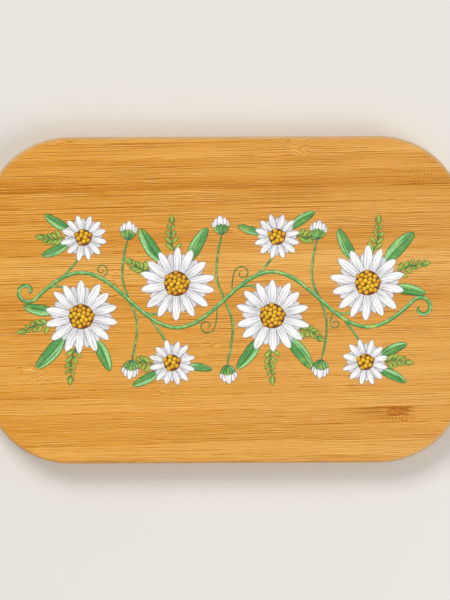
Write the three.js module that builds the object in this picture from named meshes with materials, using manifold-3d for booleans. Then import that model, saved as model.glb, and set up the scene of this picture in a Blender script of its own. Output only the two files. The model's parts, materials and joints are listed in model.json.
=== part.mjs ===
// A flat bamboo board: strips glued side by side through the whole thickness, sawn to an
// outline with broad round corners, and sanded to a soft rim above and below.
//
// Millimetres, +X along the board's length, +Z up. The origin is under the middle of the
// board, on the surface that it lies on.

import * as THREE from 'three';
import { mergeVertices } from 'three/addons/utils/BufferGeometryUtils.js';
import Module from 'manifold-3d';

// The board
const LENGTH = 192;
const WIDTH = 130;
const THICKNESS = 12;
const CORNER_RADIUS = 34.4;
const RIM_ROUNDING = 1.1; // quarter round along the upper and the lower edge

// The strips, which aren't quite parallel to the long edge
const STRIP_WIDTH = 6.3;
const GRAIN_TILT = THREE.MathUtils.degToRad(1.1); // rises towards +X
const FAR_GLUE_LINE = 63.1; // from the middle of the board to the glue line nearest the far edge
const STRIP_COUNT = 22; // the strips along the two long edges are sawn narrower

// Smoothness
const CORNER_STEPS = 14; // half the number of facets round a corner
const RIM_STEPS = 5;

// How far each strip's colour lies from straw (0) to amber (1), from the far edge to the near one
const STRAW = new THREE.Color(0xe2a954);
const AMBER = new THREE.Color(0xd08f40);
const STRIP_DEPTHS = [
  0.2, 0.4, 0.6, 1, 0.55, 0.55, 0.6, 0.65, 0.1, 0.25, 0.45,
  0.6, 0.55, 0.3, 0.3, 0.3, 0.45, 0.3, 0.5, 0.5, 0.25, 0.2,
];

const wasm = await Module();
wasm.setup();

// A rectangle with round corners, drawn anticlockwise from the near edge
function roundedRectangle(length, width, radius) {
  const x = length / 2 - radius;
  const y = width / 2 - radius;
  const quarter = Math.PI / 2;
  const shape = new THREE.Shape();
  shape.moveTo(-x, -y - radius);
  shape.lineTo(x, -y - radius);
  shape.absarc(x, -y, radius, -quarter, 0, false);
  shape.lineTo(x + radius, y);
  shape.absarc(x, y, radius, 0, quarter, false);
  shape.lineTo(-x, y + radius);
  shape.absarc(-x, y, radius, quarter, 2 * quarter, false);
  shape.lineTo(-x - radius, -y);
  shape.absarc(-x, -y, radius, 2 * quarter, 3 * quarter, false);
  return shape;
}

// The whole board before it is told apart into strips, standing on z = 0
function boardGeometry() {
  const flat = roundedRectangle(
    LENGTH - 2 * RIM_ROUNDING,
    WIDTH - 2 * RIM_ROUNDING,
    CORNER_RADIUS - RIM_ROUNDING,
  );
  const geometry = new THREE.ExtrudeGeometry(flat, {
    depth: THICKNESS - 2 * RIM_ROUNDING,
    curveSegments: CORNER_STEPS,
    bevelThickness: RIM_ROUNDING,
    bevelSize: RIM_ROUNDING,
    bevelSegments: RIM_STEPS,
  });
  return geometry.translate(0, 0, RIM_ROUNDING);
}

// A closed geometry as a solid that can be cut
function toSolid(geometry) {
  const bare = geometry.clone().deleteAttribute('normal').deleteAttribute('uv');
  const merged = mergeVertices(bare);
  return new wasm.Manifold(new wasm.Mesh({
    numProp: 3,
    vertProperties: new Float32Array(merged.attributes.position.array),
    triVerts: new Uint32Array(merged.index.array),
  }));
}

// A cut solid as a geometry again, with flat facets
function toGeometry(solid) {
  const mesh = solid.getMesh();
  const indexed = new THREE.BufferGeometry();
  indexed.setAttribute('position', new THREE.BufferAttribute(mesh.vertProperties, 3));
  indexed.setIndex(new THREE.BufferAttribute(mesh.triVerts, 1));
  const geometry = indexed.toNonIndexed();
  geometry.computeVertexNormals();
  return geometry;
}

// Parts the board along its glue lines. The first strip lies at the far edge.
function stripSolids(board) {
  const across = [-Math.sin(GRAIN_TILT), Math.cos(GRAIN_TILT), 0];
  const strips = [];
  let rest = board;
  for (let line = 0; line < STRIP_COUNT - 1; line += 1) {
    const [strip, nearer] = rest.splitByPlane(across, FAR_GLUE_LINE - line * STRIP_WIDTH);
    strips.push(strip);
    rest = nearer;
  }
  strips.push(rest);
  return strips;
}

function bamboo(depth) {
  return new THREE.MeshStandardMaterial({
    color: STRAW.clone().lerp(AMBER, depth),
    roughness: 0.55,
    metalness: 0,
  });
}

const board = new THREE.Group();
stripSolids(toSolid(boardGeometry())).forEach((solid, index) => {
  const strip = new THREE.Mesh(toGeometry(solid), bamboo(STRIP_DEPTHS[index]));
  strip.name = `lamella_${String(index + 1).padStart(2, '0')}`;
  board.add(strip);
});

export default board;
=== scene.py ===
import json
import math
import random

import bmesh
import bpy
from mathutils import Matrix, Vector


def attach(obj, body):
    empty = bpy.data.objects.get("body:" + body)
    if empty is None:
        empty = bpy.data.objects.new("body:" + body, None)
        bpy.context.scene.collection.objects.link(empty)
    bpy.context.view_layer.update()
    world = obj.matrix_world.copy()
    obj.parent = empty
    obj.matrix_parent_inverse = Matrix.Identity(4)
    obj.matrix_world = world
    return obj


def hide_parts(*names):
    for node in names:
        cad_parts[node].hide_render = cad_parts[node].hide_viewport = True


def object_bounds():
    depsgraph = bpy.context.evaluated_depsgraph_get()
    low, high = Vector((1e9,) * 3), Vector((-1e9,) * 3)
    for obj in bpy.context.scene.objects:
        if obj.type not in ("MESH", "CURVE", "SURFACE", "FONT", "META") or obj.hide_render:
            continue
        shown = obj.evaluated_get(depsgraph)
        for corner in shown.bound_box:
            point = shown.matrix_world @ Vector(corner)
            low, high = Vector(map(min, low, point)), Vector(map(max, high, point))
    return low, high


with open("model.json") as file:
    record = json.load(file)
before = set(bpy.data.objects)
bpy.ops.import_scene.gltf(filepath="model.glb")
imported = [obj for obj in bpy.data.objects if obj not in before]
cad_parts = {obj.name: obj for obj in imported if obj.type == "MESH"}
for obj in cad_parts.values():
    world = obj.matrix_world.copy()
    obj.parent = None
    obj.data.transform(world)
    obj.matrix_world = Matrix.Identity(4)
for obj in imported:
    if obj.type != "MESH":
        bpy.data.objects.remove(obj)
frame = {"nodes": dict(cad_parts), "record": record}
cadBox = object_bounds()
boardTop = cadBox[1].z
millimetre = 0.001
print("frame loaded:", len(frame["nodes"]), "strips")

view = {
    "lens": 150,  # long, so that the board's walls hardly show
    "seenHeight": 0.2388,  # metres of the face in the picture's height
    "aim": (0.0002, -0.0001),
    "roll": -0.23,  # degrees
    "clipStart": 0.01,
}


def addCamera(facts):
    camera = bpy.data.objects.new("camera", bpy.data.cameras.new("camera"))
    bpy.context.collection.objects.link(camera)
    camera.data.lens = facts["lens"]
    distance = facts["seenHeight"] * facts["lens"] / camera.data.sensor_width
    camera.location = (*facts["aim"], boardTop + distance)
    camera.rotation_euler = (0, 0, math.radians(facts["roll"]))
    camera.data.clip_start = facts["clipStart"]
    bpy.context.scene.camera = camera


addCamera(view)


def srgb(red, green, blue):
    # from a screen's 0 to 255 to linear colour
    def linear(value):
        value /= 255
        return value / 12.92 if value <= 0.04045 else ((value + 0.055) / 1.055) ** 2.4
    return (linear(red), linear(green), linear(blue), 1.0)


def selectOnly(*things):
    bpy.ops.object.select_all(action="DESELECT")
    for thing in things:
        thing.select_set(True)
    bpy.context.view_layer.objects.active = things[0]


def pickInEditMode(thing, kind, test):
    # selects what passes the test, and nothing else
    bpy.ops.mesh.select_mode(type=kind)
    bpy.ops.mesh.select_all(action="DESELECT")
    mesh = bmesh.from_edit_mesh(thing.data)
    for item in {"VERT": mesh.verts, "EDGE": mesh.edges}[kind]:
        if test(item):
            item.select_set(True)
    mesh.select_flush_mode()
    bmesh.update_edit_mesh(thing.data)


def copyOf(thing, name):
    copy = thing.copy()
    copy.data = thing.data.copy()
    copy.name = copy.data.name = name
    bpy.context.collection.objects.link(copy)
    return copy


def applyModifier(thing, kind, **settings):
    selectOnly(thing)
    modifier = thing.modifiers.new(kind.title(), kind)
    for name, value in settings.items():
        setattr(modifier, name, value)
    bpy.ops.object.modifier_apply(modifier=modifier.name)


def markEach(thing, name, values):
    # a number for each vertex, for the material to read
    thing.data.attributes.new(name, "FLOAT", "POINT").data.foreach_set("value", values)


def markAll(thing, **marks):
    for name, value in marks.items():
        markEach(thing, name, [value] * len(thing.data.vertices))


def markVector(thing, name, values):
    layer = thing.data.attributes.new(name, "FLOAT_VECTOR", "POINT")
    layer.data.foreach_set("vector", list(values) * len(thing.data.vertices))


def feed(tree, node, inputs):
    # each input is linked to a socket or set to a fixed value
    for name, value in inputs.items():
        if isinstance(value, bpy.types.NodeSocket):
            tree.links.new(value, node.inputs[name])
        else:
            node.inputs[name].default_value = value


def addNode(tree, kind, inputs=None, **settings):
    node = tree.nodes.new(kind)
    for name, value in settings.items():
        setattr(node, name, value)
    feed(tree, node, inputs or {})
    return node


def doMath(tree, operation, *values):
    return addNode(tree, "ShaderNodeMath", dict(enumerate(values)), operation=operation).outputs[0]


def multiply(tree, first, second):
    return doMath(tree, "MULTIPLY", first, second)


def addUp(tree, first, *rest):
    # each later part is a value and its share
    total = first
    for value, share in rest:
        total = doMath(tree, "MULTIPLY_ADD", value, share, total)
    return total


def doVector(tree, operation, *values):
    return addNode(tree, "ShaderNodeVectorMath", dict(enumerate(values)), operation=operation).outputs[0]


def joinVector(tree, x=0.0, y=0.0, z=0.0):
    return addNode(tree, "ShaderNodeCombineXYZ", {0: x, 1: y, 2: z}).outputs[0]


def splitVector(tree, vector):
    return addNode(tree, "ShaderNodeSeparateXYZ", {0: vector}).outputs


def remap(tree, value, low, high, newLow=0.0, newHigh=1.0):
    # eases from newLow, where the value sets in, to newHigh, where it is full
    inputs = {"Value": value, "From Min": low, "From Max": high, "To Min": newLow, "To Max": newHigh}
    return addNode(tree, "ShaderNodeMapRange", inputs, interpolation_type="SMOOTHSTEP").outputs[0]


def mixColour(tree, share, first, second):
    return addNode(tree, "ShaderNodeMix", {0: share, 6: first, 7: second}, data_type="RGBA").outputs[2]


def tint(tree, colour, value, steps, tone):
    return mixColour(tree, remap(tree, value, *steps), colour, tone)


def rampOf(tree, value, stops, tones):
    node = addNode(tree, "ShaderNodeValToRGB", {0: value})
    ramp = node.color_ramp
    for _ in stops[2:]:
        ramp.elements.new(0.5)
    for element, (place, tone) in zip(ramp.elements, stops):
        element.position = place
        element.color = tones[tone]
    return node.outputs[0]


def noiseAt(tree, place, size, detail=0.0):
    # around 0, with the size of one blot in the units of the place
    inputs = {"Vector": doVector(tree, "DIVIDE", place, size), "Scale": 1.0, "Detail": detail}
    return doMath(tree, "SUBTRACT", addNode(tree, "ShaderNodeTexNoise", inputs).outputs[0], 0.5)


def readMark(tree, name, output="Fac"):
    return addNode(tree, "ShaderNodeAttribute", attribute_name=name).outputs[output]


def readPlace(tree, kind="Object"):
    return addNode(tree, "ShaderNodeTexCoord").outputs[kind]


def newGroup(name, inputs, outputs, inputKind="NodeSocketFloat"):
    # every output is a number that changes over the surface
    tree = bpy.data.node_groups.new(name, "ShaderNodeTree")
    for label in inputs:
        tree.interface.new_socket(label, in_out="INPUT", socket_type=inputKind)
    for label in outputs:
        tree.interface.new_socket(label, in_out="OUTPUT", socket_type="NodeSocketFloat")
    return tree, addNode(tree, "NodeGroupInput").outputs, addNode(tree, "NodeGroupOutput")


def useGroup(tree, group, inputs=None):
    return addNode(tree, "ShaderNodeGroup", inputs, node_tree=group).outputs


def emptyMaterial(name):
    material = bpy.data.materials.new(name)
    material.use_nodes = True
    material.node_tree.nodes.clear()
    return material, material.node_tree


def finishMaterial(tree, colour, roughness, facts, height=None):
    # the relief is in metres, from the lowest to the highest spot
    inputs = {"Base Color": colour, "Roughness": roughness, "Specular IOR Level": facts["specular"]}
    if height:
        bump = {"Strength": facts["reliefStrength"], "Distance": facts["relief"], "Height": height}
        inputs["Normal"] = addNode(tree, "ShaderNodeBump", bump).outputs[0]
    shader = addNode(tree, "ShaderNodeBsdfPrincipled", inputs)
    addNode(tree, "ShaderNodeOutputMaterial", {"Surface": shader.outputs[0]})


board = {
    "cornerRadius": 0.0344,
    "cornerSegments": 48,
    "rimRounding": 0.0011,
    "rimSegments": 8,
    "smoothBelow": 35,  # degrees from face to face
    "stripWidth": 0.0063,
    "farGlueLine": 0.0631,  # from the board's middle
    "grainTilt": 1.1,  # degrees
}

bamboo = {
    "straw": srgb(246, 200, 112),
    "light": srgb(239, 181, 92),
    "honey": srgb(219, 149, 46),
    "amber": srgb(197, 124, 18),
    "brown": srgb(160, 90, 2),
    "knuckle": srgb(180, 92, 0),
    "reddening": (0.05, 0.4, 0.0, 0.45),  # in a knuckle's heart
    # painted sheen colours: the pale one for the right side and the far rim, the duller one for the near
    # rim
    "paleSheen": srgb(192, 172, 136),
    "nearRimSheen": srgb(198, 146, 84),
    "relief": 0.00002,
    "reliefStrength": 0.5,
    "roughness": (0.2, 0.9, 0.44, 0.56),  # from the pale fibres to the dark ones
    "specular": 0.16,
}

# how deep the wood's colour is at each tone
woodDepths = [(0.0, "straw"), (0.26, "light"), (0.5, "honey"), (0.8, "amber"), (1.0, "brown")]

# painted sheen, growing from the board's left to its right, in mm, and from the dark fibres to the pale
# ones
paintedSheen = {"along": (-100.0, 100.0, 0.03, 0.12), "fibres": (0.95, 0.35, 0.4, 1.4)}

# painted sheen on the rounded rim, strongest at the far side and at the right; in metres
rimSheen = {
    "inside": (0.0018, 0.0002),  # the outline
    "upward": (0.0, 0.3, 0.3, 1.0),  # from the upright walls to the rounded rim
    "far": (-0.064, -0.03),
    "right": (0.054, 0.076),
    "shares": (0.5, 0.64),  # at the near side and at the far one
}

glueLines = {
    "halfWidth": (0.26, 0.05),  # mm
    "patch": (24.0, 3.0, 6.0),  # mm, the stretches in which they show
    "patchSteps": (-0.08, 0.12),
    "share": 0.3,
}

# where the strips are sawn off the fibre bundles show as dots, which crowd and darken towards the
# culm's skin, at one side of a strip or the other
sawnEnds = {
    "pitch": 0.95,  # mm from bundle to bundle, before they crowd
    "scatter": 0.85,
    "seedStride": 300.0,  # mm from the dots of seed 0 to those of seed 1
    "crowding": (5.4, 4.5),  # evenly over the strip's width, and growing towards its skin
    "dot": (0.44, 0.2),  # its edge and its solid middle, in pitches
    "dotShares": (0.0, 1.0, 0.3, 0.75),  # of brown, from the pith side to the skin side
    "straw": (0.9, 0.2, 0.0, 0.34),  # towards the pith side
    "amber": (0.55, 1.0, 0.0, 0.42),  # towards the skin side
    "facing": (0.3, 0.75),  # how squarely a surface faces along X
}

# for each strip from the far edge on: how much deeper than honey, and how it deepens nearwards
stripShades = [
    (-0.04, 0.0), (0.0, -0.06), (0.08, -0.03), (0.19, 0.24), (0.08, -0.02), (0.05, 0.06),
    (0.06, 0.05), (0.08, -0.05), (-0.1, -0.05), (-0.06, 0.04), (0.02, 0.16), (0.07, -0.12),
    (0.04, -0.03), (0.0, -0.07), (-0.01, 0.07), (-0.03, -0.06), (0.01, 0.06), (-0.03, -0.06),
    (0.04, 0.0), (0.05, 0.04), (-0.05, -0.03), (0.04, 0.1),
]

# the culm's knuckles: their strip, then how far along it, how far off its middle and how high in mm,
# then how tangled, how dark and how ladder-like
knuckles = [
    (1, (-64.7, 0.0, 4.0), (0.8, 0.08, 0.0)),
    (2, (29.5, 0.0, 4.0), (0.9, 0.0, 0.0)),
    (4, (79.6, 0.2, 3.2), (0.2, 0.06, 0.7)),
    (4, (-63.0, -1.6, 1.6), (0.3, 0.04, 0.35)),
    (7, (9.4, 0.0, 4.0), (0.7, -0.04, 0.0)),
    (8, (-37.6, 0.0, 4.0), (0.5, 0.05, 0.0)),
    (10, (-45.5, 0.0, 4.0), (0.8, 0.0, 0.0)),
    (11, (-46.4, 0.0, 4.0), (0.8, 0.0, 0.0)),
    (11, (84.0, 0.0, 4.0), (0.5, 0.06, 0.0)),
    (13, (52.0, 0.0, 4.0), (0.6, 0.06, 0.3)),
    (14, (-6.0, 0.0, 4.0), (0.6, 0.04, 0.0)),
    (16, (-77.0, 0.0, 4.0), (0.8, -0.02, 0.0)),
    (17, (-25.0, 0.0, 4.0), (0.8, 0.04, 0.0)),
    (19, (68.3, 1.3, 1.7), (0.7, 0.42, 0.6)),
]

# in mm from a knuckle, where each of its marks sets in and is full
knuckleReach = {
    "Bend": (8.0, 2.0), "Core": (6.0, 2.0), "Rungs": (4.4, 3.0), "Tail": (9.0, 1.0), "Heart": (5.6, 4.2),
}

knuckleFray = {
    "fibre": (1.0, 0.7, 0.7),  # mm, the frayed fibres
    "heart": 6.0,  # mm by which they fray the ends of the heart and of the tail
    "tail": 24.0,
    "leftward": 0.36,  # the tail runs about three times as far to the left
    "height": (0.5, -0.3),  # mm past the knuckle's height
    "tear": (2.4, 0.7, 0.7),  # mm, the tears in the heart
    "tearSteps": (-0.2, 0.1, 0.1, 1.0),
}

# the size of each mark of the grain, in mm along, across and through the strips
grainMarks = {
    "thread": (64.0, 0.3, 0.3),
    "dash": (17.0, 0.25, 0.25),
    "hair": (7.0, 0.2, 0.2),
    "fleck": (4.0, 0.38, 0.38),  # at the knuckles only
    "rung": (0.42, 2.2, 2.2),  # at ladder knuckles only
    "wisp": (18.0, 0.4, 0.4),  # in the dark tails of knuckles
    "band": (44.0, 3.4, 3.4),
    "busy": (36.0, 1.8, 1.8),  # stretches where all lines are stronger
    "broken": (3.2, 0.5, 0.5),  # gaps in the lines
    "wander": (60.0, 9.0, 9.0),  # the slow sway of all fibres
    "tangle": (4.5, 2.8, 2.8),  # their sharp bends at a knuckle
    "waver": (2.4, 1.6, 1.6),  # the unevenness of the rungs
}

# the noise at a mark's two sides is taken off it, from this far away
besideMarks = {"line": (0.0, 0.34, 0.0), "fleck": (0.0, 0.42, 0.0), "rung": (0.45, 0.0, 0.0)}
besideShare = -0.47  # nearly half of each, which leaves only thin strands
seedStride = 731.0  # mm from the grain of seed 0 to that of seed 1

# the noise at which each mark sets in and is full, and its strengths there
grainSteps = {
    "lively": (-45.0, 30.0, 0.56, 1.0),  # mm across the board, calmer towards the near edge
    "boldThread": (0.17, 0.31, 0.0, 0.66),
    "boldDash": (0.19, 0.33, 0.0, 0.66),
    "paleDash": (-0.18, -0.34, 0.0, -0.4),
    "busy": (-0.14, 0.2, 0.8, 1.3),
    "broken": (-0.2, 0.2, 0.6, 1.4),
    "wisp": (-0.12, 0.16, 0.2, 1.7),
}

# how much each mark deepens the colour, and how far the last three shift the fibres or rungs
grainShares = {
    "plain": 0.45, "thread": 0.4, "dash": 0.24, "hair": 0.52, "band": 0.32,
    "fleck": 1.0, "rung": 0.8, "tail": 0.7, "heart": 0.4,
    "wander": 0.3, "tangle": 2.4, "waver": 0.9,
}

reliefShares = (-0.8, -0.8, -0.5)  # of threads, dashes and hairs


def makeKnuckleGroup(reach, fray):
    # how near a place is to a knuckle's bent fibres, core and rungs, and to its dark tail and heart
    tree, given, results = newGroup("knuckle", ("Place", "Spot", "Kind"), reach, "NodeSocketVector")
    along, across, _ = splitVector(tree, given["Place"])
    centre, middle, height = splitVector(tree, given["Spot"])
    tangle, darkness, ladder = splitVector(tree, given["Kind"])
    offset = doMath(tree, "SUBTRACT", along, centre)
    gap = doMath(tree, "ABSOLUTE", offset)
    fibre = doVector(tree, "MULTIPLY", given["Place"], (0.0, 1.0, 1.0))
    frayed = noiseAt(tree, fibre, fray["fibre"])
    above = doMath(tree, "ABSOLUTE", doMath(tree, "SUBTRACT", across, middle))
    within = remap(tree, doMath(tree, "SUBTRACT", above, height), *fray["height"])
    torn = remap(tree, noiseAt(tree, given["Place"], fray["tear"]), *fray["tearSteps"])
    longer = doMath(tree, "MAXIMUM", offset, multiply(tree, offset, -fray["leftward"]))
    gaps = {
        "Bend": (gap, tangle),
        "Core": (gap, tangle),
        "Rungs": (gap, ladder),
        "Tail": (addUp(tree, longer, (frayed, fray["tail"])), darkness),
        "Heart": (addUp(tree, gap, (frayed, fray["heart"])),
                  multiply(tree, multiply(tree, within, torn), darkness)),
    }
    feed(tree, results, {
        name: multiply(tree, remap(tree, away, *reach[name]), share)
        for name, (away, share) in gaps.items()})
    return tree


def placeInWood(tree):
    # in mm along, across and through the strips
    return addNode(tree, "ShaderNodeMapping", {
        "Vector": readPlace(tree),
        "Rotation": (0, 0, -math.radians(board["grainTilt"])),
        "Scale": (1 / millimetre,) * 3,
    }).outputs[0]


def strandAt(tree, place, beside, size, detail=0.0):
    ahead = noiseAt(tree, doVector(tree, "ADD", place, beside), size, detail)
    behind = noiseAt(tree, doVector(tree, "SUBTRACT", place, beside), size, detail)
    return addUp(tree, noiseAt(tree, place, size, detail), (ahead, besideShare), (behind, besideShare))


def makeGrainGroup(marks, steps, shares, knuckleGroup):
    # the bamboo's fibres, from the place in the board and the strip's marks
    tree, _, results = newGroup("bamboo grain", (), ("Depth", "Relief", "Heart"))

    def noise(mark, at, detail=0.0):
        return noiseAt(tree, at, marks[mark], detail)

    def step(mark, value):
        return remap(tree, value, *steps[mark])

    place = placeInWood(tree)
    seed = readMark(tree, "seed")
    own = doVector(tree, "ADD", place, joinVector(tree, multiply(tree, seed, seedStride), 0.0, seed))
    first, second = [useGroup(tree, knuckleGroup, {
        "Place": place,
        "Spot": readMark(tree, "spot" + mark, "Vector"),
        "Kind": readMark(tree, "kind" + mark, "Vector"),
    }) for mark in "AB"]
    near = {name: doMath(tree, "ADD", first[name], second[name]) for name in knuckleReach}

    tangle = multiply(tree, noise("tangle", own), near["Bend"])
    shift = addUp(tree, 0.0, (noise("wander", own), shares["wander"]), (tangle, shares["tangle"]))
    fibre = doVector(tree, "ADD", own, joinVector(tree, 0.0, shift, shift))
    threads, dashes, hairs = [
        strandAt(tree, fibre, besideMarks["line"], marks[name], detail)
        for name, detail in (("thread", 0.0), ("dash", 1.0), ("hair", 0.0))]
    lively = step("lively", splitVector(tree, place)[1])
    long = addUp(tree, step("boldThread", threads), (threads, shares["thread"]))
    lines = addUp(
        tree, multiply(tree, long, lively),
        (dashes, shares["dash"]),
        (step("boldDash", dashes), 1.0),
        (step("paleDash", dashes), 1.0),
        (hairs, shares["hair"]),
    )
    # rungs take the place of the lines
    fewer = multiply(tree, near["Rungs"], -1.0)
    busy = step("busy", noise("busy", fibre))
    strength = doMath(tree, "MULTIPLY_ADD", busy, step("broken", noise("broken", fibre)), fewer)

    bands = multiply(tree, noise("band", fibre, 2.0), lively)
    wisps = multiply(tree, near["Tail"], step("wisp", noise("wisp", fibre)))
    flecks = strandAt(tree, fibre, besideMarks["fleck"], marks["fleck"])
    waver = multiply(tree, noise("waver", own), shares["waver"])
    rungPlace = doVector(tree, "ADD", own, joinVector(tree, waver))
    rungs = strandAt(tree, rungPlace, besideMarks["rung"], marks["rung"])
    depth = addUp(
        tree, shares["plain"],
        (multiply(tree, lines, strength), 1.0),
        (bands, shares["band"]),
        (multiply(tree, flecks, near["Core"]), shares["fleck"]),
        (multiply(tree, rungs, near["Rungs"]), shares["rung"]),
        (wisps, shares["tail"]),
        (near["Heart"], shares["heart"]),
        (readMark(tree, "tone"), 1.0),
    )
    relief = addUp(tree, 0.5, *zip((threads, dashes, hairs), reliefShares))
    feed(tree, results, {"Depth": depth, "Relief": relief, "Heart": near["Heart"]})
    return tree


def paintRimSheen(tree, colour, facts, woods):
    # painted sheen on the rounded rim and faintly on the walls: a pale tint at the far side and the
    # right, a duller, darker one at the near side
    radius = board["cornerRadius"]
    corner = (cadBox[1].x - radius, cadBox[1].y - radius, 0.0)
    place = readPlace(tree)
    flat = doVector(tree, "ABSOLUTE", doVector(tree, "MULTIPLY", place, (1.0, 1.0, 0.0)))
    past = doVector(tree, "MAXIMUM", doVector(tree, "SUBTRACT", flat, corner), (0.0, 0.0, 0.0))
    reach = addNode(tree, "ShaderNodeVectorMath", {0: past}, operation="LENGTH").outputs["Value"]
    edge = remap(tree, reach, *[radius - inside for inside in facts["inside"]])
    upward = doMath(tree, "ABSOLUTE", splitVector(tree, readPlace(tree, "Normal"))[2])
    edge = multiply(tree, edge, remap(tree, upward, *facts["upward"]))
    x, y, _ = splitVector(tree, place)
    far = doMath(tree, "MAXIMUM", remap(tree, y, *facts["far"]), remap(tree, x, *facts["right"]))
    rim = mixColour(tree, far, woods["nearRimSheen"], woods["paleSheen"])
    share = multiply(tree, edge, remap(tree, far, 0.0, 1.0, *facts["shares"]))
    return mixColour(tree, share, colour, rim)


def mixSawnEnds(tree, colour, place, part, facts, woods):
    seed = readMark(tree, "seed")
    skin = doMath(tree, "ABSOLUTE", doMath(tree, "SUBTRACT", part, doMath(tree, "ROUND", seed)))
    even, growing = facts["crowding"]
    crowded = addUp(tree, 0.0, (skin, even), (multiply(tree, skin, skin), growing))
    down = addUp(tree, splitVector(tree, place)[2], (seed, facts["seedStride"]))
    apart = addNode(tree, "ShaderNodeTexVoronoi", {
        "Vector": joinVector(tree, crowded, down),
        "Scale": 1 / facts["pitch"],
        "Randomness": facts["scatter"],
    }, voronoi_dimensions="2D").outputs["Distance"]
    sideways = doMath(tree, "ABSOLUTE", splitVector(tree, readPlace(tree, "Normal"))[0])
    sawn = remap(tree, sideways, *facts["facing"])
    for tone in ("straw", "amber"):
        share = multiply(tree, remap(tree, skin, *facts[tone]), sawn)
        colour = mixColour(tree, share, colour, woods[tone])
    dots = multiply(tree, remap(tree, apart, *facts["dot"]), remap(tree, skin, *facts["dotShares"]))
    return mixColour(tree, multiply(tree, dots, sawn), colour, woods["brown"])


def makeBambooMaterial(facts, grainGroup):
    material, tree = emptyMaterial("bamboo")
    grain = useGroup(tree, grainGroup)
    place = placeInWood(tree)
    along, across, _ = splitVector(tree, place)

    fromFar = doMath(tree, "SUBTRACT", board["farGlueLine"] / millimetre, across)
    width = board["stripWidth"] / millimetre
    part = doMath(tree, "FRACT", doMath(tree, "DIVIDE", fromFar, width))
    gap = multiply(tree, doMath(tree, "PINGPONG", part, 0.5), width)
    patchy = remap(tree, noiseAt(tree, place, glueLines["patch"]), *glueLines["patchSteps"])
    glue = multiply(tree, remap(tree, gap, *glueLines["halfWidth"]), patchy)

    lean = multiply(tree, doMath(tree, "SUBTRACT", part, 0.5), readMark(tree, "lean"))
    depth = addUp(tree, grain["Depth"], (glue, glueLines["share"]), (lean, 1.0))
    colour = rampOf(tree, depth, woodDepths, facts)
    # a painted sheen that pales the wood towards the right, most on its pale fibres
    sheenShare = remap(tree, along, *paintedSheen["along"])
    sheenShare = multiply(tree, sheenShare, remap(tree, depth, *paintedSheen["fibres"]))
    colour = mixColour(tree, sheenShare, colour, facts["paleSheen"])
    colour = tint(tree, colour, grain["Heart"], facts["reddening"], facts["knuckle"])
    colour = mixSawnEnds(tree, colour, place, part, sawnEnds, facts)
    colour = paintRimSheen(tree, colour, rimSheen, facts)
    roughness = remap(tree, grain["Depth"], *facts["roughness"])
    finishMaterial(tree, colour, roughness, facts, grain["Relief"])
    return material


def riseOf(edge):
    return abs(edge.verts[0].co.z - edge.verts[1].co.z)


def makeBlank(facts, low, high):
    # a block with its upright edges and then its rims rounded over
    size = high - low
    bpy.ops.mesh.primitive_cube_add(size=1, location=(low + high) / 2, scale=size)
    blank = bpy.context.object
    bpy.ops.object.transform_apply()
    bpy.ops.object.mode_set(mode="EDIT")
    rounds = ((True, "cornerRadius", "cornerSegments"), (False, "rimRounding", "rimSegments"))
    for upright, radius, segments in rounds:
        pickInEditMode(blank, "EDGE", lambda edge: (riseOf(edge) > size.z / 2) == upright)
        bpy.ops.mesh.bevel(offset=facts[radius], segments=facts[segments], affect="EDGES")
    bpy.ops.object.mode_set(mode="OBJECT")
    return blank


def cutStrip(blank, number, facts):
    # keeps what lies between two glue lines; the outermost miss the board
    strip = copyOf(blank, f"strip_{number:02d}")
    tilt = math.radians(facts["grainTilt"])
    across = Vector((-math.sin(tilt), math.cos(tilt), 0))
    farLine = facts["farGlueLine"] - (number - 2) * facts["stripWidth"]
    selectOnly(strip)
    bpy.ops.object.mode_set(mode="EDIT")
    for line, dropFarSide in ((farLine, True), (farLine - facts["stripWidth"], False)):
        bpy.ops.mesh.select_all(action="SELECT")
        bpy.ops.mesh.bisect(plane_co=across * line, plane_no=across, use_fill=True,
                            clear_outer=dropFarSide, clear_inner=not dropFarSide)
    bpy.ops.object.mode_set(mode="OBJECT")
    bpy.ops.object.shade_smooth_by_angle(angle=math.radians(facts["smoothBelow"]))
    return strip


def makeStrips(facts, grainGroup):
    blank = makeBlank(facts, *cadBox)
    material = makeBambooMaterial(bamboo, grainGroup)
    draw = random.Random(7)
    parts = sorted(frame["record"]["subparts"], key=lambda part: part["node"])
    for number, (part, (tone, lean)) in enumerate(zip(parts, stripShades), start=1):
        strip = cutStrip(blank, number, facts)
        strip.data.materials.append(material)
        markAll(strip, seed=round(draw.uniform(0.05, 0.95), 3), tone=tone, lean=lean)
        middle = (facts["farGlueLine"] - (number - 1.5) * facts["stripWidth"]) / millimetre
        own = [knuckle for knuckle in knuckles if knuckle[0] == number]
        offBoard = (number, (500.0, 0.0, 0.0), (0.0, 0.0, 0.0))
        for mark, (_, (along, above, height), kind) in zip("AB", own + [offBoard, offBoard]):
            markVector(strip, "spot" + mark, (along, middle + above, height))
            markVector(strip, "kind" + mark, kind)
        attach(strip, "root")
        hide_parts(part["node"])
    bpy.data.objects.remove(blank)


knuckleGroup = makeKnuckleGroup(knuckleReach, knuckleFray)
grainGroup = makeGrainGroup(grainMarks, grainSteps, grainShares, knuckleGroup)
makeStrips(board, grainGroup)
print("strips sawn and sanded")

# the printed garland, in mm on the board's face with its middle at 0, 0
vine = {
    "wave": 76.0,  # from one crest to the next
    "swing": 11.0,  # from the middle line to a crest
    "reach": 76.0,  # from the board's middle to where the curls start
    "steps": 48,
    "width": 1.5,
    "curl": (4.2, 1.1, -1),  # radius, turns and side
    "stemWidth": 0.9,  # of the flowers' stems
}

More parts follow.
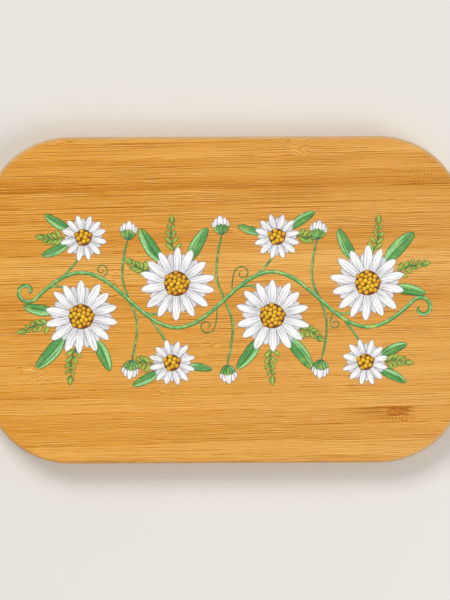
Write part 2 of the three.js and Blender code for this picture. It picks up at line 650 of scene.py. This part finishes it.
# how high the dried ink stands on the wood, layer on layer
films = {
    "sunk": 0.01,
    "tendril": 0.02,
    "stem": 0.05,
    "sprig": 0.06,
    "leaf": 0.08,
    "backPetal": 0.11,
    "petal": 0.14,
    "disc": 0.17,
    "floret": 0.22,
    "step": 0.006,  # between neighbours that overlap
    "floretStep": 0.0012,  # from one floret to the next
    "unevenness": 0.003,  # between films of one layer
}

# for a blade one long and one wide: its widths at both ends, and where it is widest
blades = {
    "petal": {"rows": 12, "base": 0.5, "widest": 0.66, "tip": 0.14, "bow": 0.0},
    "leaf": {"rows": 16, "base": 0.16, "widest": 0.42, "tip": 0.02, "bow": 0.1},
    "leaflet": {"rows": 8, "base": 0.3, "widest": 0.6, "tip": 0.1, "bow": 0.0},
}
# how square the tips are, and how far they end on the bow's other side
bladeTip = {"squareness": 2.2, "bowBack": 0.4}

# the sides of the round films, and how far their upper edge is rounded over
buttonSides = {"disc": 32, "floret": 12}
buttonRounding = 0.03  # of their width

daisyKinds = {
    "large": {"radius": 15.2, "petals": 14, "petalWidth": 3.6, "disc": 5.0, "florets": 23},
    "small": {"radius": 9.5, "petals": 12, "petalWidth": 2.6, "disc": 3.3, "florets": 10},
}

# a shorter, shaded ring behind, then the full one: their film, reach and shade
petalRings = [("backPetal", 0.82, 0.5), ("petal", 1.0, 0.0)]

# the foot as a share of the flower's radius, and how unlike each other the petals are
petalShape = {"foot": 0.1, "lean": 4, "lengths": (0.93, 1.0), "widths": (0.92, 1.06)}

leafShape = {
    "foot": 0.62,  # as a share of the flower's radius
    "length": 0.94,
    "width": 0.3,
    "lean": 8,  # degrees either way
}

sprigShape = {
    "foot": 0.7,
    "length": 0.62,
    "sway": 1.6,
    "bends": 0.8,  # half waves of it along the stem
    "pairs": 5,
    "stemWidth": 0.6,
    "leaflet": 4.6,  # its length at the stem's foot
    "shrink": 0.4,  # from one pair to the next
    "slimness": 0.42,
    "opening": 52,  # degrees off the stem, at its foot
    "closing": 5,  # from one pair to the next
    "lean": 6,
    "tip": (4.0, 1.7),
    "shade": 0.75,
}

# a bud's petals and sepals, with what a degree of lean takes off their length
budParts = {
    "petal": {"film": "petal", "leans": (-30, 30, -16, 16, 0), "shades": (0.3, 0.24, 0.18, 0.12, 0.06),
              "size": (7.6, 2.7), "shortening": 0.05},
    "leaflet": {"film": "disc", "leans": (-44, 44, -22, 22, 0), "shades": (0.2,) * 5,
                "size": (4.3, 1.8), "shortening": 0.0},
}

# the florets of a disc spiral out from its middle
centreShape = {
    "turn": 137.5,  # degrees from one floret to the next
    "spread": 0.93,  # how much of the disc's radius they fill
    "floret": 2.15,  # a floret's width, in their pitches
    "discShade": 1.6,
    "shades": (0.1, 0.35),  # in the middle, and how much deeper at the disc's edge
}

# kind, x, y, then the angle and length of each leaf and of each sprig behind the flower
daisies = [
    ("large", -57.0, -6.5, ((168, 15), (228, 19), (300, 16)), ((196, 19), (262, 21))),
    ("large", -19.0, 6.5, ((60, 17), (124, 18)), ((92, 21), (152, 14))),
    ("large", 19.0, -6.5, ((240, 17), (304, 18)), ((272, 21), (332, 14))),
    ("large", 57.0, 6.5, ((-12, 15), (48, 19), (120, 16)), ((16, 19), (82, 21))),
    ("small", -56.0, 25.0, ((150, 13), (202, 13)), ((176, 14),)),
    ("small", -21.0, -25.0, ((212, 13), (-14, 11)), ((186, 13),)),
    ("small", 21.0, 25.0, ((32, 13), (166, 11)), ((6, 13),)),
    ("small", 56.0, -25.0, ((-30, 13), (22, 13)), ((-4, 14),)),
]

# where each bud sits and which way it points
buds = [
    (-38.5, 24.0, 84), (-37.0, -24.0, 262), (-1.0, 26.0, 96),
    (1.0, -26.0, 276), (37.0, 24.0, 82), (38.5, -24.0, 264),
]

# each tendril's place on the vine, heading, run before it curls, and the curl's side and radius
tendrils = [
    (-49.0, 50, 3.0, 1, 2.3), (-3.0, -104, 9.0, -1, 3.0),
    (3.0, 76, 9.0, -1, 3.0), (43.5, -100, 5.0, 1, 1.9),
]
tendrilShape = {"turns": 1.3, "width": 0.5, "bend": 12}  # the bend in degrees, before the curl

curlShape = {"steps": 14, "tightening": 0.82}  # steps in a turn, and how much the last is shorter

# a ribbon's rows: their length, the fewest, and over how many its ends narrow to which share
ribbonShape = {"row": 0.7, "leastRows": 10, "endRows": 4, "endWidth": 0.25}


def vineHeight(x):
    return vine["swing"] * math.sin(2 * math.pi * x / vine["wave"])


def stepFrom(place, angle, length):
    turn = math.radians(angle)
    return (place[0] + length * math.cos(turn), place[1] + length * math.sin(turn))


def curlFrom(start, heading, radius, turns, side):
    # the points of a curl that tightens, turning left for side 1 and right for side -1
    points = [start]
    stride = 360 / curlShape["steps"]
    steps = round(turns * curlShape["steps"])
    for step in range(steps):
        heading += side * stride
        length = radius * (1 - curlShape["tightening"] * step / steps) * math.radians(stride)
        points.append(stepFrom(points[-1], heading, length))
    return points


def bladeHalfWidth(share, facts):
    # of a blade one wide: swells from its base to its widest place, then rounds off to the tip
    if share < facts["widest"]:
        rise = math.sin(share / facts["widest"] * math.pi / 2)
        return 0.5 * (facts["base"] + (1 - facts["base"]) * rise)
    past = (share - facts["widest"]) / (1 - facts["widest"])
    return 0.5 * max(facts["tip"], math.sqrt(max(0.0, 1 - past ** bladeTip["squareness"])))


def addGrid(rows, columns):
    bpy.ops.mesh.primitive_grid_add(x_subdivisions=rows, y_subdivisions=columns, size=1, calc_uvs=True)
    return bpy.context.object


def widenRow(film, row, rows, share):
    pickInEditMode(film, "VERT", lambda vert: vert.index % (rows + 1) == row)
    bpy.ops.transform.resize(value=(1, share, 1), center_override=(0, 0, 0))


def markHalfWidths(film, widths):
    # the widths are those of its rows
    markEach(film, "halfWidth", widths * (len(film.data.vertices) // len(widths)))


def makeBlade(facts):
    # a closed film along +X from the origin, one long, one wide and one thick
    rows = facts["rows"]
    blade = addGrid(rows, 4)
    widths = []
    bpy.ops.object.mode_set(mode="EDIT")
    for row in range(rows + 1):
        share = (1 - math.cos(math.pi * row / rows)) / 2
        widths.append(bladeHalfWidth(share, facts))
        widenRow(blade, row, rows, 2 * widths[row])
        bow = facts["bow"] * (math.sin(math.pi * share) - bladeTip["bowBack"] * share)
        bpy.ops.transform.translate(value=(share - row / rows + 0.5, bow, 0))
    bpy.ops.object.mode_set(mode="OBJECT")
    markHalfWidths(blade, widths)
    applyModifier(blade, "SOLIDIFY", thickness=1.0, offset=1.0)
    return blade


def isOnRim(vertex):
    # of a button's upper face
    return vertex.co.z > 0.9 and vertex.co.xy.length > 0.4


def makeButton(sides):
    # a round film, one wide and one thick
    bpy.ops.mesh.primitive_cylinder_add(
        vertices=sides, radius=0.5, depth=1, location=(0, 0, 0.5), end_fill_type="TRIFAN")
    button = bpy.context.object
    bpy.ops.object.transform_apply()
    bpy.ops.object.mode_set(mode="EDIT")
    pickInEditMode(button, "EDGE", lambda edge: all(isOnRim(end) for end in edge.verts))
    bpy.ops.mesh.bevel(offset=buttonRounding, segments=1, affect="EDGES")
    bpy.ops.object.mode_set(mode="OBJECT")
    markEach(button, "inner", [1 - 2 * vertex.co.xy.length for vertex in button.data.vertices])
    markEach(button, "sunny", [vertex.co.y - vertex.co.x for vertex in button.data.vertices])
    return button


def placeFilm(form, at, angle, size, height, draw, shade=0.0):
    # the seed gives each film its own strokes and height in its layer
    film = copyOf(form, "film")
    turn = Matrix.Rotation(math.radians(angle), 4, "Z")
    seed = draw.random()
    height += films["unevenness"] * seed
    film.data.transform(Matrix.Translation((*at, 0)) @ turn @ Matrix.Diagonal((*size, height, 1)))
    markAll(film, seed=seed, shade=shade)
    widths = film.data.attributes.get("halfWidth")
    if widths:
        for item in widths.data:
            item.value *= size[1]
    return film


def makeRibbon(points, width, height, draw):
    # a long film bent along a smooth path, narrowing at both ends
    length = sum(math.dist(a, b) for a, b in zip(points, points[1:]))
    rows = max(ribbonShape["leastRows"], round(length / ribbonShape["row"]))
    ribbon = addGrid(rows, 2)
    ribbon.data.transform(Matrix.Diagonal((length, width, 1, 1)) @ Matrix.Translation((0.5, 0, 0)))
    halfWidths = [width / 2] * (rows + 1)
    bpy.ops.object.mode_set(mode="EDIT")
    endRows, endWidth = ribbonShape["endRows"], ribbonShape["endWidth"]
    for step in range(endRows):
        narrow = endWidth + (1 - endWidth) * math.sin(step / endRows * math.pi / 2)
        for row in (step, rows - step):
            halfWidths[row] *= narrow
            widenRow(ribbon, row, rows, narrow)
    bpy.ops.object.mode_set(mode="OBJECT")
    markHalfWidths(ribbon, halfWidths)
    bpy.ops.curve.primitive_bezier_curve_add()
    path = bpy.context.object
    spline = path.data.splines[0]
    spline.bezier_points.add(len(points) - 2)
    for knot, place in zip(spline.bezier_points, points):
        knot.co = (*place, 0)
        knot.handle_left_type = knot.handle_right_type = "AUTO"
    path.data.dimensions = "2D"
    applyModifier(ribbon, "CURVE", object=path, deform_axis="POS_X")
    bpy.data.objects.remove(path)
    seed = draw.random()
    applyModifier(ribbon, "SOLIDIFY", thickness=height + films["unevenness"] * seed, offset=1.0)
    markAll(ribbon, seed=seed, shade=0.0)
    return ribbon


def printInk(name, things, material):
    # joins the films of one ink and lays them on the board
    selectOnly(*things)
    bpy.ops.object.join()
    piece = bpy.context.object
    piece.name = piece.data.name = name
    piece.data.materials.clear()
    piece.data.materials.append(material)
    floor = boardTop - films["sunk"] * millimetre
    piece.data.transform(Matrix.Translation((0, 0, floor)) @ Matrix.Scale(millimetre, 4))
    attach(piece, "root")


brush = {
    "sway": (1.3, 1.3, 1.3),  # mm from one swelling of the outline to the next
    "swayShare": 0.3,
    "softness": (1.5, 0.5),  # where the outline sets in and is full, in its widths
    "strokes": (1.7, 3.4),  # along a blade and across half of it
    "seedStride": 90.0,  # from the strokes of seed 0 to those of seed 1
    "blot": (2.6, 2.6, 2.6),
}


def makeBrushGroup(facts):
    # where a point lies on its blade of ink, how near the outline, and the strokes of the brush
    outputs = ("Along", "Across", "Edge", "Stroke", "Blot")
    tree, given, results = newGroup("brush", ("Outline", "Share"), outputs)
    place = doVector(tree, "DIVIDE", readPlace(tree), (millimetre,) * 3)
    u, v, _ = splitVector(tree, addNode(tree, "ShaderNodeUVMap", uv_map="UVMap").outputs[0])
    turn = doMath(tree, "COSINE", multiply(tree, u, math.pi))
    along = doMath(tree, "MULTIPLY_ADD", turn, -0.5, 0.5)
    across = doMath(tree, "MULTIPLY_ADD", v, 2.0, -1.0)
    inwards = doMath(tree, "SUBTRACT", 1.0, doMath(tree, "ABSOLUTE", across))
    gap = multiply(tree, inwards, readMark(tree, "halfWidth"))
    gap = addUp(tree, gap, (noiseAt(tree, place, facts["sway"]), facts["swayShare"]))
    far, near = [multiply(tree, given["Outline"], widths) for widths in facts["softness"]]
    lane = multiply(tree, readMark(tree, "seed"), facts["seedStride"])
    strokes = [multiply(tree, way, count) for way, count in zip((along, across), facts["strokes"])]
    feed(tree, results, {
        "Along": along,
        "Across": across,
        "Edge": remap(tree, gap, far, near, 0.0, given["Share"]),
        "Stroke": noiseAt(tree, joinVector(tree, *strokes, lane), (1.0, 1.0, 1.0), detail=2.0),
        "Blot": noiseAt(tree, place, facts["blot"], detail=1.0),
    })
    return tree


inkSurface = {
    "fibre": (24.0, 0.4, 0.4),  # mm along, across and through the strips
    "fibreShare": 0.8,
    "mottle": (0.5, 0.5, 0.5),
    "mottleShare": 0.4,
    "roughness": (0.5, 0.3),  # and how much the mottle changes it
    "relief": 0.00002,
    "reliefStrength": 0.4,
    "specular": 0.35,
}


def makeInkSurfaceGroup(facts):
    # dried ink: the wood's fibres show through it, and it is a little mottled
    tree, _, results = newGroup("ink surface", (), ("Height", "Roughness"))
    place = placeInWood(tree)
    fibres = noiseAt(tree, place, facts["fibre"], detail=1.0)
    mottle = noiseAt(tree, place, facts["mottle"])
    roughness, change = facts["roughness"]
    feed(tree, results, {
        "Height": addUp(tree, 0.5, (fibres, facts["fibreShare"]), (mottle, facts["mottleShare"])),
        "Roughness": addUp(tree, roughness, (mottle, change)),
    })
    return tree


# the outline is in mm, with its share of the colour
petalInk = {
    "white": srgb(253, 253, 253),
    "shade": srgb(197, 196, 204),
    "crease": srgb(152, 151, 164),
    "outline": srgb(126, 125, 136),
    "brush": {"Outline": 0.26, "Share": 0.85},
    "base": (0.7, 0.1, 0.0, 0.5),
    "strokes": (-0.02, 0.15, 0.0, 0.75),
    "creasePlace": 0.36,  # from the middle to the side
    "creaseWidth": (0.16, 0.03),
    "creaseLength": (0.8, 0.3, 0.0, 0.6),
}

leafInk = {
    "body": srgb(88, 158, 82),
    "mint": srgb(162, 222, 150),
    "lime": srgb(200, 214, 76),
    "outline": srgb(48, 96, 50),
    "brush": {"Outline": 0.32, "Share": 0.9},
    "lit": (-0.2, 0.9),
    "litStrokes": 2.4,
    "limy": (0.15, 0.95, 0.0, 0.85),
    "limyBlots": 1.4,
    "limyTip": 0.3,
    "strokes": (-0.04, -0.2, 0.0, 0.75),
    "rib": (0.16, 0.05, 0.0, 0.6),
    "veins": 7.0,  # on each side of a leaf
    "veinSlant": -0.9,
    "vein": (0.12, 0.02, 0.0, 0.3),
}

stemInk = {
    **leafInk,
    "brush": {"Outline": 0.256, "Share": 0.85},
    "lit": (-0.3, 0.7),
    "litBlots": 1.6,
    "limy": (0.05, 0.25, 0.0, 0.7),
}

centreInk = {
    "lemon": srgb(248, 208, 44),
    "gold": srgb(230, 176, 20),
    "orange": srgb(196, 118, 8),
    "outline": srgb(108, 64, 6),
    "depths": ((0.1, "lemon"), (0.4, "gold"), (0.75, "orange"), (1.0, "outline")),
    "ring": (0.34, 0.12, 0.0, 0.9),
    "mottle": 0.25,
    "sunny": -0.55,  # paler towards the lamp
}


def mixPetalInk(tree, facts, brushGroup):
    marks = useGroup(tree, brushGroup, facts["brush"])
    nearBase = remap(tree, marks["Along"], *facts["base"])
    strokes = remap(tree, marks["Stroke"], *facts["strokes"])
    shaded = addUp(tree, readMark(tree, "shade"), (nearBase, 1.0), (strokes, 1.0))
    colour = mixColour(tree, shaded, facts["white"], facts["shade"])
    fromSide = doMath(tree, "SUBTRACT", doMath(tree, "ABSOLUTE", marks["Across"]), facts["creasePlace"])
    fold = remap(tree, doMath(tree, "ABSOLUTE", fromSide), *facts["creaseWidth"])
    crease = multiply(tree, fold, remap(tree, marks["Along"], *facts["creaseLength"]))
    colour = mixColour(tree, crease, colour, facts["crease"])
    return mixColour(tree, marks["Edge"], colour, facts["outline"])


def mixLeafInk(tree, facts, brushGroup):
    marks = useGroup(tree, brushGroup, facts["brush"])
    along, blot, shade = marks["Along"], marks["Blot"], readMark(tree, "shade")
    lit = addUp(tree, marks["Across"], (marks["Stroke"], facts["litStrokes"]))
    colour = tint(tree, facts["body"], lit, facts["lit"], facts["mint"])
    limy = addUp(tree, shade, (blot, facts["limyBlots"]), (along, facts["limyTip"]))
    colour = tint(tree, colour, limy, facts["limy"], facts["lime"])
    middle = doMath(tree, "ABSOLUTE", marks["Across"])
    row = multiply(tree, along, facts["veins"])
    vein = doMath(tree, "PINGPONG", doMath(tree, "MULTIPLY_ADD", middle, facts["veinSlant"], row), 0.5)
    for name, line in {"strokes": marks["Stroke"], "vein": vein, "rib": middle}.items():
        colour = tint(tree, colour, line, facts[name], facts["outline"])
    return mixColour(tree, marks["Edge"], colour, facts["outline"])


def mixStemInk(tree, facts, brushGroup):
    marks = useGroup(tree, brushGroup, facts["brush"])
    lit = addUp(tree, marks["Across"], (marks["Blot"], facts["litBlots"]))
    colour = tint(tree, facts["body"], lit, facts["lit"], facts["mint"])
    colour = tint(tree, colour, marks["Blot"], facts["limy"], facts["lime"])
    return mixColour(tree, marks["Edge"], colour, facts["outline"])


def mixCentreInk(tree, facts, _):
    # shade runs from 0 in the middle of the disc outwards, and past 1 under the florets
    shade, seed, sunny, inner = [readMark(tree, name) for name in ("shade", "seed", "sunny", "inner")]
    depth = addUp(tree, shade, (seed, facts["mottle"]), (sunny, facts["sunny"]))
    colour = rampOf(tree, depth, facts["depths"], facts)
    return tint(tree, colour, inner, facts["ring"], facts["outline"])


def makeInk(name, facts, mixInk, brushGroup, surfaceGroup):
    material, tree = emptyMaterial(name)
    surface = useGroup(tree, surfaceGroup)
    colour = mixInk(tree, facts, brushGroup)
    finishMaterial(tree, colour, surface["Roughness"], inkSurface, surface["Height"])
    return material


def makeVine(draw):
    # the vine with a curl at each end, and the stems of the daisies and buds
    reach = vine["reach"]
    wave = [-reach + 2 * reach * step / vine["steps"] for step in range(vine["steps"] + 1)]
    points = [(x, vineHeight(x)) for x in wave]
    rise = math.degrees(math.atan(2 * math.pi * vine["swing"] / vine["wave"]))
    leftCurl = curlFrom(points[0], 180 + rise, *vine["curl"])
    rightCurl = curlFrom(points[-1], rise, *vine["curl"])
    points = leftCurl[:0:-1] + points + rightCurl[1:]
    ribbons = [makeRibbon(points, vine["width"], films["stem"], draw)]

    # a large daisy's stem dips across the middle line, a small one's climbs straight to it
    layer = films["stem"] - films["step"]
    for kind, x, y, _, _ in daisies:
        side = math.copysign(1, y)
        if kind == "large":
            foot = (x - 14, vineHeight(x - 14))
            path = [foot, (x - 10, foot[1] - side * 1.2), (x - 5, -side * 4.2), (x - 1, -side), (x, y)]
        else:
            foot = (x - 9, vineHeight(x - 9))
            path = [foot, (x - 4, y - side * 11), (x - 1, y - side * 6), (x, y)]
        ribbons.append(makeRibbon(path, vine["stemWidth"], layer, draw))
    for x, y, _ in buds:
        side = math.copysign(1, y)
        foot = (round(2 * x / vine["wave"]) * vine["wave"] / 2, 0)
        path = [foot, (x - side * 2, y * 0.33), (x - side * 1.6, y * 0.7), (x, y)]
        ribbons.append(makeRibbon(path, vine["stemWidth"], layer - films["step"], draw))
    return ribbons


def makeTendrils(draw):
    ribbons = []
    for x, heading, run, side, radius in tendrils:
        foot = (x, vineHeight(x))
        middle = stepFrom(foot, heading - side * tendrilShape["bend"], run / 2)
        end = stepFrom(middle, heading, run / 2)
        points = [foot, middle] + curlFrom(end, heading, radius, tendrilShape["turns"], side)
        ribbons.append(makeRibbon(points, tendrilShape["width"], films["tendril"], draw))
    return ribbons


def makeLeaves(flower, at, leaves, form, draw):
    made = []
    for step, (angle, length) in enumerate(leaves):
        foot = stepFrom(at, angle, flower["radius"] * leafShape["foot"])
        lean = angle + leafShape["lean"] * draw.uniform(-1, 1)
        size = (leafShape["length"] * length, leafShape["width"] * length)
        made.append(placeFilm(form, foot, lean, size, films["leaf"] + films["step"] * step, draw))
    return made


def makeSprigs(flower, at, sprigs, form, draw):
    # lime sprigs that sway out from behind the flower: their stems, then their leaflets in pairs
    shape = sprigShape
    stems = []
    leaflets = []
    for angle, length in sprigs:
        swaySide = draw.choice((-1, 1))
        path = []
        for step in range(shape["pairs"] + 1):
            share = step / shape["pairs"]
            reach = flower["radius"] * shape["foot"] + length * shape["length"] * share
            sway = swaySide * shape["sway"] * math.sin(math.pi * shape["bends"] * share)
            path.append(stepFrom(stepFrom(at, angle, reach), angle + 90, sway))
        stems.append(makeRibbon(path, shape["stemWidth"], films["sprig"], draw))
        for step in range(1, shape["pairs"] + 1):
            long = shape["leaflet"] - shape["shrink"] * step
            size = (long, long * shape["slimness"])
            height = films["sprig"] + films["step"] * (1 + step % 2)
            for side in (-1, 1):
                opening = shape["opening"] - shape["closing"] * step
                lean = angle + side * opening + shape["lean"] * draw.uniform(-1, 1)
                leaflets.append(placeFilm(form, path[step], lean, size, height, draw, shape["shade"]))
        height = films["sprig"] + films["step"] * 3
        leaflets.append(placeFilm(form, path[-1], angle, shape["tip"], height, draw, shape["shade"]))
    return stems, leaflets


def makePetals(flower, at, form, draw):
    made = []
    for ring, (film, reach, shade) in enumerate(petalRings):
        for step in range(flower["petals"]):
            lean = petalShape["lean"] * draw.uniform(-1, 1)
            angle = (step + 0.5 * ring) * 360 / flower["petals"] + lean
            share = reach * draw.uniform(*petalShape["lengths"])
            length = flower["radius"] * (share - petalShape["foot"])
            width = flower["petalWidth"] * draw.uniform(*petalShape["widths"])
            foot = stepFrom(at, angle, flower["radius"] * petalShape["foot"])
            layer = films[film] + films["step"] * (step % 3)
            made.append(placeFilm(form, foot, angle, (length, width), layer, draw, shade))
    return made


def makeCentre(flower, at, forms, draw):
    disc, shape = flower["disc"], centreShape
    size = (2 * disc,) * 2
    made = [placeFilm(forms["disc"], at, 0, size, films["disc"], draw, shape["discShade"])]
    pitch = disc * shape["spread"] / math.sqrt(flower["florets"])
    size = (pitch * shape["floret"],) * 2
    palest, deeper = shape["shades"]
    for step in range(flower["florets"]):
        reach = pitch * math.sqrt(step + 0.5)
        foot = stepFrom(at, step * shape["turn"], reach)
        layer = films["floret"] - films["floretStep"] * step
        shade = palest + deeper * reach / disc
        made.append(placeFilm(forms["floret"], foot, 0, size, layer, draw, shade))
    return made


def makeBud(at, angle, forms, draw):
    made = []
    for form, facts in budParts.items():
        blades = []
        long, wide = facts["size"]
        for step, (lean, shade) in enumerate(zip(facts["leans"], facts["shades"])):
            size = (long - abs(lean) * facts["shortening"], wide)
            height = films[facts["film"]] + films["step"] * step
            blades.append(placeFilm(forms[form], at, angle + lean, size, height, draw, shade))
        made.append(blades)
    return made


def printGarland():
    draw = random.Random(21)
    groups = (makeBrushGroup(brush), makeInkSurfaceGroup(inkSurface))
    forms = {name: makeBlade(facts) for name, facts in blades.items()}
    forms |= {name: makeButton(sides) for name, sides in buttonSides.items()}
    stems = makeVine(draw) + makeTendrils(draw)
    leaves, sprigs, petals, centres = [], [], [], []
    for kind, *at, leafFacts, sprigFacts in daisies:
        flower = daisyKinds[kind]
        leaves += makeLeaves(flower, at, leafFacts, forms["leaf"], draw)
        sprigStems, leaflets = makeSprigs(flower, at, sprigFacts, forms["leaflet"], draw)
        stems += sprigStems
        sprigs += leaflets
        petals += makePetals(flower, at, forms["petal"], draw)
        centres += makeCentre(flower, at, forms, draw)
    for *at, angle in buds:
        budPetals, sepals = makeBud(at, angle, forms, draw)
        petals += budPetals
        sprigs += sepals
    leafMaterial = makeInk("leaf ink", leafInk, mixLeafInk, *groups)
    printInk("print_stems", stems, makeInk("stem ink", stemInk, mixStemInk, *groups))
    printInk("print_leaves", leaves, leafMaterial)
    printInk("print_sprigs", sprigs, leafMaterial)
    printInk("print_petals", petals, makeInk("petal ink", petalInk, mixPetalInk, *groups))
    printInk("print_centres", centres, makeInk("centre ink", centreInk, mixCentreInk, *groups))
    for form in forms.values():
        bpy.data.objects.remove(form)


printGarland()
print("garland printed")

studio = {
    "floorWidth": 6,
    "floor": srgb(226, 224, 220),
    "floorGrain": (0.02, 0.02, 0.02),
    "floorRoughness": (-0.2, 0.2, 0.6, 0.7),
    "specular": 0.3,
    "sky": {"Color": (1.0, 1.0, 1.0, 1.0), "Strength": 0.48},
    "lampColour": (1.0, 0.975, 0.93),
}

softboxes = {
    "keyBox": {"place": (-1.1, 2.1, 2.5), "size": (1.8, 1.4), "watts": 62.5},
    "fillBox": {"place": (0.8, -0.5, 0.9), "size": (0.8, 0.8), "watts": 6.2},
}


def addSoftbox(name, facts, colour):
    light = bpy.data.objects.new(name, bpy.data.lights.new(name, "AREA"))
    bpy.context.collection.objects.link(light)
    light.data.shape = "RECTANGLE"
    light.data.size, light.data.size_y = facts["size"]
    light.data.energy = facts["watts"]
    light.data.color = colour
    light.location = facts["place"]
    light.rotation_euler = (-Vector(facts["place"])).to_track_quat("-Z", "Y").to_euler()


def makeStudio(facts):
    bpy.ops.mesh.primitive_plane_add(size=facts["floorWidth"], location=(0, 0, 0))
    floor = bpy.context.object
    floor.name = "floor"
    material, tree = emptyMaterial("floor")
    grain = noiseAt(tree, readPlace(tree), facts["floorGrain"], detail=2.0)
    roughness = remap(tree, grain, *facts["floorRoughness"])
    finishMaterial(tree, facts["floor"], roughness, facts)
    floor.data.materials.append(material)
    world = bpy.context.scene.world = bpy.data.worlds.new("sky")
    world.use_nodes = True
    feed(world.node_tree, world.node_tree.nodes["Background"], facts["sky"])
    for name, boxFacts in softboxes.items():
        addSoftbox(name, boxFacts, facts["lampColour"])
    bpy.context.scene.view_settings.view_transform = "Standard"


makeStudio(studio)
print("studio lit")
